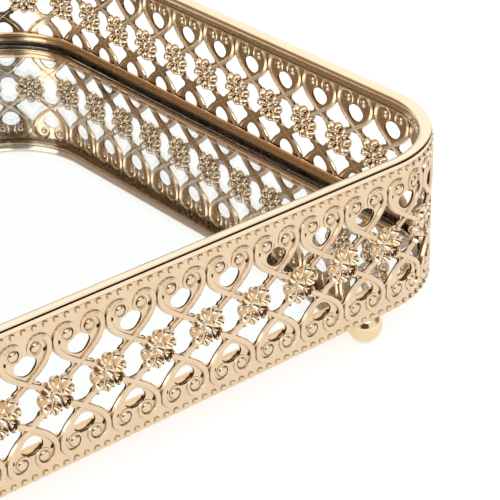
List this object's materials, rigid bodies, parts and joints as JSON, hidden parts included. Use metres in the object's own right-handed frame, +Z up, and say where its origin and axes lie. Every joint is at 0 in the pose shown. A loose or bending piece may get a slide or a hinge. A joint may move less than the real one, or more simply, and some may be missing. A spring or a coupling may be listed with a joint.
{
  "type": "dresser vanity tray",
  "caption": "Rounded rectangular vanity tray with a stamped gold filigree wall, a polished rim, a mirror floor and small ball feet.",
  "frame": {"origin": "on the surface the ball feet stand on, under the middle of the tray", "axes": "+X along the length, +Y along the width towards the back, +Z up"},
  "size_m": [0.301, 0.2, 0.0493],
  "materials": {
    "filigree_gold": "satin champagne gold plate on stamped steel",
    "rim_gold": "polished champagne gold plate",
    "pan_gold": "bright gold plate on pressed steel",
    "foot_gold": "polished champagne gold plate",
    "mirror": "silvered float glass",
    "foam_tape": "white foam tape",
    "screw_steel": "zinc plated"
  },
  "bodies": {
    "root": {"base_pan": "pan_gold", "filigree_band": "filigree_gold", "top_rim": "rim_gold", "mirror_glass": "mirror", "tape_front": "foam_tape", "tape_middle": "foam_tape", "tape_back": "foam_tape", "ball_foot_front_left": "foot_gold", "ball_foot_front_right": "foot_gold", "ball_foot_back_left": "foot_gold", "ball_foot_back_right": "foot_gold", "foot_screw_front_left": "screw_steel", "foot_screw_front_right": "screw_steel", "foot_screw_back_left": "screw_steel", "foot_screw_back_right": "screw_steel"}
  },
  "joints": []
}
